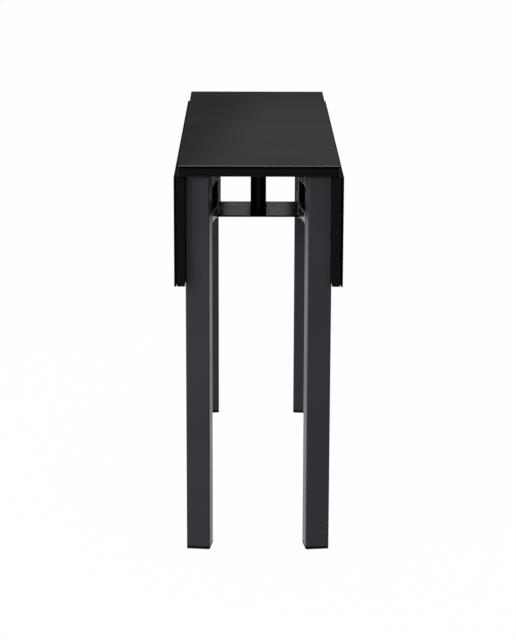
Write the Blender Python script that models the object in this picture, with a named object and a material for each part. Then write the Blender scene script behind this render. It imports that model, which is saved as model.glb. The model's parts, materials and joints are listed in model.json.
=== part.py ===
"""Narrow drop-leaf table: black glass bonded on boards, two hanging leaves, four gate legs.

X runs across the table, Y along it and Z up, with the origin on the floor under its middle.
"""

import math

import bmesh
import bpy

# Overall sizes, in metres
TABLE_HEIGHT = 0.750
TOP_LENGTH = 1.000
TOP_WIDTH = 0.300
LEAF_WIDTH = 0.208

# Panel build-up, the same for the top and for both leaves
GLASS_THICKNESS = 0.004
BOND_SPACE = 0.0012
BOARD_THICKNESS = 0.015
BOND_SETBACK = 0.003
GLASS_ARRIS = 0.0007
BOARD_ARRIS = 0.0006
PANEL_CORNER_RADIUS = 0.004

# How a leaf hangs, and the gap that it leaves beside the top when it is raised
LEAF_OVERHANG = 0.0075
LEAF_DROP_GAP = 0.0010
RAISED_GAP = 0.0020
SWEEP_CLEARANCE = 0.0004

# Leaf hinges: a barrel in a mortise, and two spades in slots in the board edges
HINGE_FROM_END = 0.220
HINGE_WIDTH = 0.060
HINGE_BARREL_DIAMETER = 0.0080
HINGE_PIN_DIAMETER = 0.0036
HINGE_END_KNUCKLE = 0.018
HINGE_SPADE_THICKNESS = 0.0025
HINGE_SPADE_REACH = 0.034
HINGE_CLEARANCE = 0.0006

# Gate legs
LEG_SIZE = 0.045
LEG_WALL = 0.0015
LEG_CORNER_RADIUS = 0.003
LEG_INSET = 0.008
LEG_TO_LEAF = 0.0004
LEG_TOP_GAP = 0.0012
CAP_THICKNESS = 0.0025
GLIDE_HEIGHT = 0.0055
PLUG_EDGE_INSET = 0.0006
PLUG_EDGE_HEIGHT = 0.0008
PLUG_DEPTH = 0.018
PLUG_WALL = 0.003
GATE_ANGLE = math.radians(7.0)
GATE_REACH = 0.105
ARM_SIZE = 0.020
ARM_WALL = 0.0015
UPPER_ARM_DROP = 0.002
PIVOT_POST_DEPTH = 0.030
PIVOT_POST_WALL = 0.0015

# Plates, columns and pivots that carry the gates
UPPER_PLATE_THICKNESS = 0.004
LOWER_PLATE_THICKNESS = 0.003
PLATE_SPACE = 0.0960
PLATE_DEPTH = 0.145
PLATE_MARGIN = 0.0165
PLATE_SIDE_MARGIN = 0.0225
PLATE_CORNER_RADIUS = 0.010
COLUMN_FROM_PLATE_EDGE = 0.042
COLUMN_DIAMETER = 0.030
COLUMN_WALL = 0.002
COLUMN_FOOT_RIM = 0.0006
COLUMN_FOOT_HEIGHT = 0.004
BUSH_FLANGE = 0.0016
BUSH_LENGTH = 0.015
PIVOT_BOLT_DIAMETER = 0.010
COLUMN_BOLT_DIAMETER = 0.008
BOLT_HEAD_HEIGHT = 0.005
BOLT_HEAD_RATIO = 1.8
# The dome of a bolt head, as shares of its radius and of its height
BOLT_DOME_SHARES = ((0.55, 1.0), (0.85, 0.75), (1.0, 0.35), (1.0, 0.0))

# Gaps between pieces
SEAT = 0.0002
RUNNING = 0.00025

# Facets, the limits of a corner's radius, and how far a cutter runs past the face that it opens
ROUND_STEPS = 24
CORNER_STEPS = 3
SMOOTH_ANGLE = math.radians(30)
LEAST_RADIUS = 0.0001
LARGEST_CORNER_SHARE = 0.49
CUT_OVERRUN = 0.010

# Places worked out from the sizes above
PANEL = GLASS_THICKNESS + BOND_SPACE + BOARD_THICKNESS
HALF_WIDTH = TOP_WIDTH / 2
HALF_LENGTH = TOP_LENGTH / 2
UNDERSIDE = TABLE_HEIGHT - PANEL
LEAF_DROP = PANEL + LEAF_DROP_GAP
PIN_INSET = (LEAF_DROP - LEAF_OVERHANG - RAISED_GAP) / 2
PIN_DEPTH = (LEAF_DROP + LEAF_OVERHANG - RAISED_GAP) / 2
PIN_X = HALF_WIDTH - PIN_INSET
PIN_Z = TABLE_HEIGHT - PIN_DEPTH
LEAF_INNER_FACE = HALF_WIDTH + LEAF_OVERHANG - PANEL
LEAF_EDGE = PIN_INSET + RAISED_GAP
PLATE_TOP = UNDERSIDE - SEAT
PLATE_CEILING = PLATE_TOP - UPPER_PLATE_THICKNESS
PLATE_FLOOR = PLATE_CEILING - PLATE_SPACE
LEG_TIP = GATE_REACH + LEG_SIZE
PIVOT_X = (
    LEAF_INNER_FACE
    - LEG_TO_LEAF
    - (LEG_SIZE - ARM_SIZE / 2) * math.cos(GATE_ANGLE)
    - LEG_TIP * math.sin(GATE_ANGLE)
)
PIVOT_FROM_END = LEG_INSET + LEG_TIP * math.cos(GATE_ANGLE) + ARM_SIZE / 2 * math.sin(GATE_ANGLE)
PLATE_FROM_END = PIVOT_FROM_END - PLATE_MARGIN
COLUMN_FROM_END = PLATE_FROM_END + COLUMN_FROM_PLATE_EDGE
POST_BOTTOM = PLATE_FLOOR + BUSH_FLANGE + 2 * SEAT
POST_TOP = PLATE_CEILING - BUSH_FLANGE - 2 * SEAT
CAP_TOP = UNDERSIDE - LEG_TOP_GAP

# Colour, roughness and metallic value of each finish
FINISHES = {
    "black_glass": ((0.022, 0.023, 0.024), 0.06, 0.0),
    "bond": ((0.008, 0.008, 0.008), 0.6, 0.0),
    "black_board": ((0.012, 0.012, 0.013), 0.38, 0.0),
    "satin_paint": ((0.038, 0.036, 0.041), 0.36, 0.3),
    "black_plastic": ((0.010, 0.010, 0.011), 0.5, 0.0),
    "zinc_steel": ((0.16, 0.16, 0.165), 0.3, 1.0),
}


def clear_scene():
    for old in list(bpy.data.objects):
        bpy.data.objects.remove(old, do_unlink=True)


def finish_material(name):
    """The Principled material of one finish, made the first time that it is asked for."""
    known = bpy.data.materials.get(name)
    if known:
        return known
    colour, roughness, metallic = FINISHES[name]
    material = bpy.data.materials.new(name)
    material.use_nodes = True
    shader = material.node_tree.nodes["Principled BSDF"]
    shader.inputs["Base Color"].default_value = (*colour, 1.0)
    shader.inputs["Roughness"].default_value = roughness
    shader.inputs["Metallic"].default_value = metallic
    material.diffuse_color = (*colour, 1.0)
    return material


def corner_outline(x0, x1, y0, y1, radius):
    """A rectangle with round corners, anticlockwise, as (x, y) points."""
    radius = min(max(radius, LEAST_RADIUS), LARGEST_CORNER_SHARE * min(x1 - x0, y1 - y0))
    centres = ((x1, y1, 0), (x0, y1, 1), (x0, y0, 2), (x1, y0, 3))
    points = []
    for cx, cy, quarter in centres:
        cx += radius if cx == x0 else -radius
        cy += radius if cy == y0 else -radius
        for step in range(CORNER_STEPS + 1):
            angle = math.pi / 2 * (quarter + step / CORNER_STEPS)
            points.append((cx + radius * math.cos(angle), cy + radius * math.sin(angle)))
    return points


def round_outline(x, y, radius):
    turns = [math.tau * step / ROUND_STEPS for step in range(ROUND_STEPS)]
    return [(x + radius * math.cos(turn), y + radius * math.sin(turn)) for turn in turns]


def loft(rings):
    """A closed solid through rings of equal length, given as (outline, z) from bottom to top."""
    mesh = bmesh.new()
    loops = [[mesh.verts.new((x, y, z)) for x, y in outline] for outline, z in rings]
    for low, high in zip(loops, loops[1:]):
        for index in range(len(low)):
            after = (index + 1) % len(low)
            mesh.faces.new((low[index], low[after], high[after], high[index]))
    mesh.faces.new(list(reversed(loops[0])))
    mesh.faces.new(loops[-1])
    return mesh


def block(x0, x1, y0, y1, z0, z1):
    """A plain box between two corners, whichever way round each pair is given."""
    (x0, x1), (y0, y1), (z0, z1) = sorted((x0, x1)), sorted((y0, y1)), sorted((z0, z1))
    outline = [(x0, y0), (x1, y0), (x1, y1), (x0, y1)]
    return loft([(outline, z0), (outline, z1)])


def rod(x, y, radius, z0, z1):
    outline = round_outline(x, y, radius)
    return loft([(outline, z0), (outline, z1)])


def rod_along_y(y0, y1, radius):
    """A round bar on the Y axis."""
    mesh = rod(0, 0, radius, y0, y1)
    for vert in mesh.verts:
        across, up, along = vert.co
        vert.co = (across, along, -up)
    return mesh


def scratch_object(mesh_data, name):
    mesh = bpy.data.meshes.new(name)
    mesh_data.to_mesh(mesh)
    mesh_data.free()
    made = bpy.data.objects.new(name, mesh)
    bpy.context.scene.collection.objects.link(made)
    return made


def shaped(solid, joined=(), cut=()):
    """One solid as a mesh datablock, with others joined to it and then others cut from it."""
    body = scratch_object(solid, "shape")
    helpers = []
    for operation, others in (("UNION", joined), ("DIFFERENCE", cut)):
        for other in others:
            helper = scratch_object(other, "helper")
            helper.hide_render = True
            helper.display_type = "WIRE"
            helpers.append(helper)
            modifier = body.modifiers.new(operation.lower(), "BOOLEAN")
            modifier.operation = operation
            modifier.solver = "EXACT"
            modifier.object = helper
    bpy.context.view_layer.update()
    evaluated = body.evaluated_get(bpy.context.evaluated_depsgraph_get())
    mesh = bpy.data.meshes.new_from_object(evaluated)
    for used in (*helpers, body):
        bpy.data.objects.remove(used, do_unlink=True)
    return mesh


def piece(name, mesh, finish, parent=None):
    """A named object that holds the mesh, in its parent's frame."""
    mesh.name = name
    mesh.materials.clear()
    mesh.materials.append(finish_material(finish))
    mesh.shade_smooth()
    mesh.set_sharp_from_angle(angle=SMOOTH_ANGLE)
    made = bpy.data.objects.new(name, mesh)
    bpy.context.scene.collection.objects.link(made)
    made.parent = parent
    return made


def joint_empty(name, place, turn):
    empty = bpy.data.objects.new(name, None)
    bpy.context.scene.collection.objects.link(empty)
    empty.location = place
    empty.rotation_euler = turn
    return empty


def side_name(side):
    return "right" if side > 0 else "left"


def end_name(end):
    return "far" if end > 0 else "near"


def joint_chamfer():
    """The chamfer under each joint edge that lets the leaf's edge turn past the top's edge."""
    reach = LEAF_EDGE - SWEEP_CLEARANCE
    below = PANEL - PIN_DEPTH
    flat = PIN_INSET - math.sqrt(max(reach**2 - below**2, 0))
    upright = below - math.sqrt(max(reach**2 - PIN_INSET**2, 0))
    return max(flat, upright, BOARD_ARRIS)


def glass_sheet(x0, x1, y0, y1, top):
    """A sheet of glass under the height top, with an arris all round."""
    bottom = top - GLASS_THICKNESS
    inner = corner_outline(
        x0 + GLASS_ARRIS, x1 - GLASS_ARRIS, y0 + GLASS_ARRIS, y1 - GLASS_ARRIS,
        PANEL_CORNER_RADIUS - GLASS_ARRIS,
    )
    outer = corner_outline(x0, x1, y0, y1, PANEL_CORNER_RADIUS)
    rings = [(inner, bottom), (outer, bottom + GLASS_ARRIS), (outer, top - GLASS_ARRIS), (inner, top)]
    return shaped(loft(rings))


def bond_sheet(x0, x1, y0, y1, top):
    """The adhesive sheet between glass and board, set back from their edges."""
    outline = corner_outline(
        x0 + BOND_SETBACK, x1 - BOND_SETBACK, y0 + BOND_SETBACK, y1 - BOND_SETBACK,
        PANEL_CORNER_RADIUS,
    )
    ceiling = top - GLASS_THICKNESS - SEAT
    return shaped(loft([(outline, ceiling - BOND_SPACE + 2 * SEAT), (outline, ceiling)]))


def board(x0, x1, y0, y1, top, chamfer_low, chamfer_high, cuts):
    """A board under glass, with chamfers below its edges at x0 and x1, and cuts for the hinges."""
    ceiling = top - GLASS_THICKNESS - BOND_SPACE
    floor = top - PANEL
    radius = PANEL_CORNER_RADIUS
    arris = BOARD_ARRIS
    deepest = max(chamfer_low, chamfer_high, 2 * arris)

    def ring(height):
        """The outline at a height above the floor, drawn in by the chamfers and the end arrises."""
        low = max(chamfer_low - height, 0)
        high = max(chamfer_high - height, 0)
        end = max(arris - height, 0)
        return corner_outline(x0 + low, x1 - high, y0 + end, y1 - end, radius)

    inner = corner_outline(x0 + arris, x1 - arris, y0 + arris, y1 - arris, radius - arris)
    heights = (0, arris, deepest)
    rings = [(ring(height), floor + height) for height in heights]
    rings += [(ring(deepest), ceiling - arris), (inner, ceiling)]
    return shaped(loft(rings), cut=cuts)


def hinge_places():
    return (-HALF_LENGTH + HINGE_FROM_END, HALF_LENGTH - HINGE_FROM_END)


def spade_slot(x0, x1, y, z):
    """The slot that takes one hinge spade, between two distances from the pin."""
    half = HINGE_WIDTH / 2 + HINGE_CLEARANCE / 2
    thick = HINGE_SPADE_THICKNESS / 2 + HINGE_CLEARANCE / 2
    return block(x0, x1, y - half, y + half, z - thick, z + thick)


def top_hinge_cuts():
    """Mortises for the barrels, open at the side and below, and slots for the fixed spades."""
    cuts = []
    barrel = HINGE_BARREL_DIAMETER / 2 + HINGE_CLEARANCE
    half = HINGE_WIDTH / 2 + HINGE_CLEARANCE
    slot_end = HINGE_SPADE_REACH + HINGE_CLEARANCE / 2
    for side in (-1, 1):
        for y in hinge_places():
            inner = side * (PIN_X - barrel)
            outer = side * (HALF_WIDTH + CUT_OVERRUN)
            below = UNDERSIDE - CUT_OVERRUN
            cuts.append(block(inner, outer, y - half, y + half, below, PIN_Z + barrel))
            cuts.append(spade_slot(side * (PIN_X - slot_end), side * PIN_X, y, PIN_Z))
    return cuts


def make_top():
    x, y = HALF_WIDTH, HALF_LENGTH
    chamfer = joint_chamfer()
    piece("top_glass", glass_sheet(-x, x, -y, y, TABLE_HEIGHT), "black_glass")
    piece("top_bond", bond_sheet(-x, x, -y, y, TABLE_HEIGHT), "bond")
    made = board(-x, x, -y, y, TABLE_HEIGHT, chamfer, chamfer, top_hinge_cuts())
    piece("top_board", made, "black_board")


def knuckle_spans():
    """The Y spans of the two fixed knuckles and of the moving knuckle, from the hinge's middle."""
    half = HINGE_WIDTH / 2
    inner = half - HINGE_END_KNUCKLE
    moving = inner - 2 * RUNNING
    return ((-half, -inner), (inner, half)), ((-moving, moving),)


def hinge_half(side, reach, spans, y):
    """A spade with its knuckles on the Y axis; reach is the signed distance to its far edge."""
    barrel = HINGE_BARREL_DIAMETER / 2
    thick = HINGE_SPADE_THICKNESS / 2
    half = HINGE_WIDTH / 2
    root = side * (barrel + HINGE_CLEARANCE)
    spade = block(root, reach, y - half, y + half, -thick, thick)
    joined = []
    for start, end in spans:
        joined.append(rod_along_y(y + start, y + end, barrel))
        joined.append(block(0, root + side * thick, y + start, y + end, -thick, thick))
    start, end = y - half - CUT_OVERRUN, y + half + CUT_OVERRUN
    bore = rod_along_y(start, end, HINGE_PIN_DIAMETER / 2 + RUNNING)
    return shaped(spade, joined, [bore])


def make_hinges(side, leaf_empty, fixed_empty):
    """The hinges of one leaf: fixed halves and pins on the top, moving halves on the leaf."""
    fixed_spans, moving_spans = knuckle_spans()
    for y in hinge_places():
        name = f"{side_name(side)}_{end_name(y)}"
        fixed = hinge_half(-side, -side * HINGE_SPADE_REACH, fixed_spans, y)
        piece(f"hinge_{name}_fixed", fixed, "zinc_steel", fixed_empty)
        half = HINGE_WIDTH / 2
        pin = rod_along_y(y - half, y + half, HINGE_PIN_DIAMETER / 2)
        piece(f"hinge_{name}_pin", shaped(pin), "zinc_steel", fixed_empty)
        moving = hinge_half(side, side * HINGE_SPADE_REACH, moving_spans, y)
        piece(f"hinge_{name}_moving", moving, "zinc_steel", leaf_empty)


def make_leaf(side):
    """One leaf, modelled raised about its pin line and turned down to hang from it."""
    name = f"leaf_{side_name(side)}"
    place = (side * PIN_X, 0, PIN_Z)
    leaf_empty = joint_empty(f"{name}_pin_line", place, (0, side * math.pi / 2, 0))
    fixed_empty = joint_empty(f"{name}_fixed_line", place, (0, 0, 0))
    x0, x1 = sorted((side * LEAF_EDGE, side * (LEAF_EDGE + LEAF_WIDTH)))
    y0, y1 = -HALF_LENGTH, HALF_LENGTH
    chamfers = (joint_chamfer(), BOARD_ARRIS) if side > 0 else (BOARD_ARRIS, joint_chamfer())
    slot_end = HINGE_SPADE_REACH + HINGE_CLEARANCE / 2
    cuts = [spade_slot(0, side * slot_end, y, 0) for y in hinge_places()]
    piece(f"{name}_glass", glass_sheet(x0, x1, y0, y1, PIN_DEPTH), "black_glass", leaf_empty)
    piece(f"{name}_bond", bond_sheet(x0, x1, y0, y1, PIN_DEPTH), "bond", leaf_empty)
    made = board(x0, x1, y0, y1, PIN_DEPTH, *chamfers, cuts)
    piece(f"{name}_board", made, "black_board", leaf_empty)
    make_hinges(side, leaf_empty, fixed_empty)


def plate_mesh(end, z0, z1):
    """A plate across one end of the table, with holes for two pivot bolts and the column bolt."""
    half = PIVOT_X + PLATE_SIDE_MARGIN
    near = HALF_LENGTH - PLATE_FROM_END
    y0, y1 = sorted((end * near, end * (near - PLATE_DEPTH)))
    outline = corner_outline(-half, half, y0, y1, PLATE_CORNER_RADIUS)
    pivot_y = end * (HALF_LENGTH - PIVOT_FROM_END)
    column_y = end * (HALF_LENGTH - COLUMN_FROM_END)
    bolt = PIVOT_BOLT_DIAMETER / 2 + RUNNING
    through = (z0 - CUT_OVERRUN, z1 + CUT_OVERRUN)
    holes = [rod(side * PIVOT_X, pivot_y, bolt, *through) for side in (-1, 1)]
    column_hole = COLUMN_BOLT_DIAMETER / 2 + RUNNING
    holes.append(rod(0, column_y, column_hole, *through))
    return shaped(loft([(outline, z0), (outline, z1)]), cut=holes)


def bolt_mesh(x, y, diameter):
    """A dome-headed bolt from under the lower plate up into the upper plate."""
    head_top = PLATE_FLOOR - LOWER_PLATE_THICKNESS - SEAT
    head = diameter / 2 * BOLT_HEAD_RATIO
    shank = diameter / 2
    rings = [
        (round_outline(x, y, width * head), head_top - drop * BOLT_HEAD_HEIGHT)
        for width, drop in BOLT_DOME_SHARES
    ]
    rings.append((round_outline(x, y, shank), head_top))
    rings.append((round_outline(x, y, shank), PLATE_TOP - SEAT))
    return shaped(loft(rings))


def column_mesh(y):
    """A tube between the plates, with a turned foot on the lower one."""
    bottom = PLATE_FLOOR + SEAT
    top = PLATE_CEILING - SEAT
    radius = COLUMN_DIAMETER / 2
    foot = radius + COLUMN_FOOT_RIM
    rings = [
        (round_outline(0, y, foot), bottom),
        (round_outline(0, y, foot), bottom + COLUMN_FOOT_HEIGHT),
        (round_outline(0, y, radius), bottom + COLUMN_FOOT_HEIGHT + COLUMN_FOOT_RIM),
        (round_outline(0, y, radius), top),
    ]
    bore = rod(0, y, radius - COLUMN_WALL, bottom - CUT_OVERRUN, top + CUT_OVERRUN)
    return shaped(loft(rings), cut=[bore])


def make_end_frame(end):
    """The plates, column and bolts that hang the two gates of one end under the top."""
    name = end_name(end)
    pivot_y = end * (HALF_LENGTH - PIVOT_FROM_END)
    column_y = end * (HALF_LENGTH - COLUMN_FROM_END)
    lower_bottom = PLATE_FLOOR - LOWER_PLATE_THICKNESS
    piece(f"upper_plate_{name}", plate_mesh(end, PLATE_CEILING, PLATE_TOP), "satin_paint")
    piece(f"lower_plate_{name}", plate_mesh(end, lower_bottom, PLATE_FLOOR), "satin_paint")
    piece(f"column_{name}", column_mesh(column_y), "satin_paint")
    piece(f"column_bolt_{name}", bolt_mesh(0, column_y, COLUMN_BOLT_DIAMETER), "zinc_steel")
    for side in (-1, 1):
        bolt = bolt_mesh(side * PIVOT_X, pivot_y, PIVOT_BOLT_DIAMETER)
        piece(f"pivot_bolt_{name}_{side_name(side)}", bolt, "zinc_steel")


def leg_rectangle(side, end, inset):
    """The leg's plan rectangle in the gate's frame, drawn in by inset."""
    x0, x1 = sorted((-side * ARM_SIZE / 2, side * (LEG_SIZE - ARM_SIZE / 2)))
    y0, y1 = sorted((end * GATE_REACH, end * LEG_TIP))
    return x0 + inset, x1 - inset, y0 + inset, y1 - inset


def leg_mesh(side, end):
    """A square tube with round corners, open at both ends for the cap and the glide."""
    outer = corner_outline(*leg_rectangle(side, end, 0), LEG_CORNER_RADIUS)
    inner = corner_outline(*leg_rectangle(side, end, LEG_WALL), LEG_CORNER_RADIUS - LEG_WALL)
    bottom = GLIDE_HEIGHT + SEAT
    top = CAP_TOP - CAP_THICKNESS - SEAT
    hollow = loft([(inner, bottom - CUT_OVERRUN), (inner, top + CUT_OVERRUN)])
    return shaped(loft([(outer, bottom), (outer, top)]), cut=[hollow])


def plug_mesh(side, end, flange, up):
    """A moulded insert: a flange over the end of the leg and a hollow plug inside it."""
    z0, z1 = flange
    outer = corner_outline(*leg_rectangle(side, end, PLUG_EDGE_INSET), LEG_CORNER_RADIUS)
    waist = corner_outline(*leg_rectangle(side, end, 0), LEG_CORNER_RADIUS)
    if up > 0:
        rings = [(outer, z0), (waist, z0 + PLUG_EDGE_HEIGHT), (waist, z1)]
        seat, tip = z1, z1 + PLUG_DEPTH
    else:
        rings = [(waist, z0), (waist, z1 - PLUG_EDGE_HEIGHT), (outer, z1)]
        seat, tip = z0, z0 - PLUG_DEPTH
    inset = LEG_WALL + SEAT
    plug = corner_outline(*leg_rectangle(side, end, inset), LEG_CORNER_RADIUS - LEG_WALL)
    bore_inset = inset + PLUG_WALL
    bore = corner_outline(*leg_rectangle(side, end, bore_inset), LEG_CORNER_RADIUS - bore_inset)
    low, high = sorted((seat - up * PLUG_EDGE_HEIGHT, tip))
    bore_low, bore_high = sorted((seat, tip + up * CUT_OVERRUN))
    joined = [loft([(plug, low), (plug, high)])]
    return shaped(loft(rings), joined, [loft([(bore, bore_low), (bore, bore_high)])])


def post_block(inset, z0, z1):
    """A block with the plan of the pivot post, as wide as the arms, drawn in by inset."""
    x = ARM_SIZE / 2 - inset
    y = PIVOT_POST_DEPTH / 2 - inset
    return block(-x, x, -y, y, z0, z1)


def bracket_mesh(end):
    """Two square arms welded to the pivot post, hollow and open where they meet the leg."""
    half = ARM_SIZE / 2
    hollow = half - ARM_WALL
    tip = end * (GATE_REACH - SEAT)
    beyond = end * (GATE_REACH + CUT_OVERRUN)
    weld = end * (PIVOT_POST_DEPTH / 2 + ARM_WALL)
    upper = POST_TOP - UPPER_ARM_DROP - half
    lower = POST_BOTTOM + half
    joined = []
    cut = [post_block(PIVOT_POST_WALL, POST_BOTTOM - CUT_OVERRUN, POST_TOP + CUT_OVERRUN)]
    for middle in (lower, upper):
        joined.append(block(-half, half, 0, tip, middle - half, middle + half))
        cut.append(block(-hollow, hollow, weld, beyond, middle - hollow, middle + hollow))
    return shaped(post_block(0, POST_BOTTOM, POST_TOP), joined, cut)


def bush_mesh(up):
    """A flanged plug in one end of the pivot post, bored for the bolt; up is 1 below and -1 above."""
    seat = POST_BOTTOM - SEAT if up > 0 else POST_TOP + SEAT
    flange = sorted((seat, seat - up * BUSH_FLANGE))
    body = sorted((seat - up * BUSH_FLANGE / 2, seat + up * BUSH_LENGTH))
    bore = PIVOT_BOLT_DIAMETER / 2 + RUNNING
    through = sorted((seat - up * (BUSH_FLANGE + CUT_OVERRUN), seat + up * (BUSH_LENGTH + CUT_OVERRUN)))
    plug = post_block(PIVOT_POST_WALL + SEAT, *body)
    return shaped(post_block(0, *flange), [plug], [rod(0, 0, bore, *through)])


def make_gate(side, end):
    """One leg on its bracket, which turns about the pivot bolt between the plates."""
    name = f"{end_name(end)}_{side_name(side)}"
    place = (side * PIVOT_X, end * (HALF_LENGTH - PIVOT_FROM_END), 0)
    empty = joint_empty(f"gate_{name}_pivot", place, (0, 0, -side * end * GATE_ANGLE))
    piece(f"leg_{name}", leg_mesh(side, end), "satin_paint", empty)
    cap = plug_mesh(side, end, (CAP_TOP - CAP_THICKNESS, CAP_TOP), -1)
    piece(f"leg_cap_{name}", cap, "black_plastic", empty)
    glide = plug_mesh(side, end, (0, GLIDE_HEIGHT), 1)
    piece(f"foot_glide_{name}", glide, "black_plastic", empty)
    piece(f"gate_bracket_{name}", bracket_mesh(end), "satin_paint", empty)
    piece(f"lower_bush_{name}", bush_mesh(1), "black_plastic", empty)
    piece(f"upper_bush_{name}", bush_mesh(-1), "black_plastic", empty)


def main():
    clear_scene()
    make_top()
    for side in (-1, 1):
        make_leaf(side)
    for end in (-1, 1):
        make_end_frame(end)
        for side in (-1, 1):
            make_gate(side, end)
    bpy.context.view_layer.update()


main()
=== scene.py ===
"""Looks of a narrow drop-leaf table in black: glass on boards, square gate legs, plates and pivot bolts.

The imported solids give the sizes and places. Each piece that shows is modelled again here with its fine edges,
welds and screws, and rides on the body of the solid that it stands for. All lengths are metres.
"""

import json
import math

import bmesh
import bpy
from mathutils import Matrix, Vector

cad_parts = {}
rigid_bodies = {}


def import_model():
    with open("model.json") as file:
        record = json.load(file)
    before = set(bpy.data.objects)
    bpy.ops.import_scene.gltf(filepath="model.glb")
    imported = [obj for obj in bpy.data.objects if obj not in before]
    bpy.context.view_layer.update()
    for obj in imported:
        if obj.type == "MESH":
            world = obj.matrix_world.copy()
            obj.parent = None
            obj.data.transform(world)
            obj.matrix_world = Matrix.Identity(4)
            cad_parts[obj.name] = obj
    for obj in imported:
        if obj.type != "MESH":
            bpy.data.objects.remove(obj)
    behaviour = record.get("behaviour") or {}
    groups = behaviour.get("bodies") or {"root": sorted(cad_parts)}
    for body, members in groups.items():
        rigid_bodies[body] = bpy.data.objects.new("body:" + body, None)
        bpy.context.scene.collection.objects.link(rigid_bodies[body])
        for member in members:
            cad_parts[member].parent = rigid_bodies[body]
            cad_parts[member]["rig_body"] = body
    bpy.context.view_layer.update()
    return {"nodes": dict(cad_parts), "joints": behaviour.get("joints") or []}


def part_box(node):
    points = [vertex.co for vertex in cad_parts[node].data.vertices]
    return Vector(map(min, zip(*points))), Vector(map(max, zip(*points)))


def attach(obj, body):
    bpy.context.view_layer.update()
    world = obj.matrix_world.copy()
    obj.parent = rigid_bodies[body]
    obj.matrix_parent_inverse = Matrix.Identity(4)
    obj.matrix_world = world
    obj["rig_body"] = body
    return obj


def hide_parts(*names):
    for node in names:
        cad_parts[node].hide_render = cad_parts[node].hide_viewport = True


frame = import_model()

# Camera: its place and angles, and its focal length in pixels of a frame 640 pixels high
FRAME_HEIGHT_PX = 640
FOCAL_LENGTH_PX = 2166.5
SENSOR_MM = 36
CAMERA_PLACE = Vector((-0.0205, -4.4424, 1.4309))
CAMERA_PITCH = math.radians(13.864)
CAMERA_YAW = math.radians(0.286)
CAMERA_ROLL = math.radians(0.172)
CAMERA_CLIP_END = 200.0

# Glass: the flat arris along its edges and the rounding of the sheet's corners
GLASS_ARRIS = 0.0005
GLASS_CORNER_RADIUS = 0.004

# Legs and gates
GATE_ANGLE = math.radians(7.0)
LEG_SIZE = 0.045
LEG_WALL = 0.0015
LEG_CORNER_RADIUS = 0.003
GATE_REACH = 0.105
ARM_SIZE = 0.020
ARM_CORNER_RADIUS = 0.0022
LEAST_CORNER_RADIUS = ARM_CORNER_RADIUS / 4
ARM_END_GAP = 0.0002
UPPER_ARM_DROP = 0.002
POST_DEPTH = 0.030
POST_WALL = 0.0015
TUBE_END_CHAMFER = 0.0004
BUSH_FLANGE = 0.0016
BUSH_EDGE = 0.0003
BUSH_BORE_RADIUS = 0.00525
PLUG_GAP = 0.0002

# Weld beads round the arms; their ripple is a share of their radius
BEAD_RADIUS = 0.0015
BEAD_ROUNDNESS = 2
BEAD_SINK = 0.0007
BEAD_OFF_LEG = BEAD_RADIUS / 3
BEAD_RIPPLE = 0.16
BEAD_RIPPLE_PITCH = 0.0016
BEAD_STEP = 0.0004

# Columns and the set screw in each
COLUMN_RADIUS = 0.015
COLUMN_WALL = 0.002
COLUMN_FOOT_RIM = 0.0006
COLUMN_FOOT_EDGE = COLUMN_FOOT_RIM / 3
COLUMN_FOOT_HEIGHT = 0.004
SET_SCREW_RADIUS = 0.0028
SET_SCREW_EDGE = SET_SCREW_RADIUS / 6
SET_SCREW_SOCKET_RADIUS = SET_SCREW_RADIUS * 0.55
SET_SCREW_STAND_OFF = 0.0018
SET_SCREW_ABOVE_PLATE = 0.0105

# Bolts: rim and socket depth are shares of the head's height, and the socket's flats stand off the axis by a
# share of the head's radius; the crown has a point at each of these angles
BOLT_HEAD_HEIGHT = 0.005
BOLT_HEAD_TO_SHANK = 1.8
BOLT_RIM_SHARE = 0.35
BOLT_CROWN_ANGLES = (1.15, 0.9, 0.6, 0.3, 0.0)
SOCKET_SIDES = 6
SOCKET_SHARE = 0.36
SOCKET_DEPTH_SHARE = 0.6

# Countersunk screws, whose cross recess narrows to a share of its size at its bottom, and where they sit
SCREW_HEAD_RADIUS = 0.0040
SCREW_NECK_RADIUS = SCREW_HEAD_RADIUS * 0.45
SCREW_HEAD_CROWN = 0.0004
SCREW_HEAD_DEPTH = 0.0020
SCREW_CROWN_STEPS = 5
CROSS_LENGTH = 0.0044
CROSS_WIDTH = 0.0009
CROSS_DEPTH = 0.0012
CROSS_TAPER = 0.6
CROSS_CORNER_RADIUS = CROSS_WIDTH / 4
CROSS_CORNER_STEPS = 2
PLATE_SCREW_MARGIN = 0.014
PLATE_SCREWS_FRONT = (-0.038, 0.038)
PLATE_SCREWS_BACK = (-0.092, -0.030, 0.030, 0.092)
HINGE_SCREW_FROM_PIN = 0.021
HINGE_SCREW_SPREAD = 0.019

# Fine edges of the pieces that keep the outline of their solid, and of a pin's ends as a share of its radius
BOARD_EDGE = 0.00035
PLATE_EDGE = 0.0005
HINGE_EDGE = 0.0003
MOULDED_EDGE = 0.0005
PIN_EDGE_SHARE = 1 / 3

# Facets: how many, the angle above which an edge is sharp, and what makes two faces or two points one
ROUND_STEPS = 64
CORNER_STEPS = 8
EDGE_STEPS = 3
SMOOTH_ANGLE = math.radians(40)
FLAT_ANGLE = math.radians(0.5)
MERGE_DISTANCE = 1e-6

# Tests on a face's normal: the most that an upright face leans, and the least along X at the side of a sheet
UPRIGHT = 0.1
SIDEWAYS = 0.5
X_AXIS, Z_AXIS = 0, 2

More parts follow.
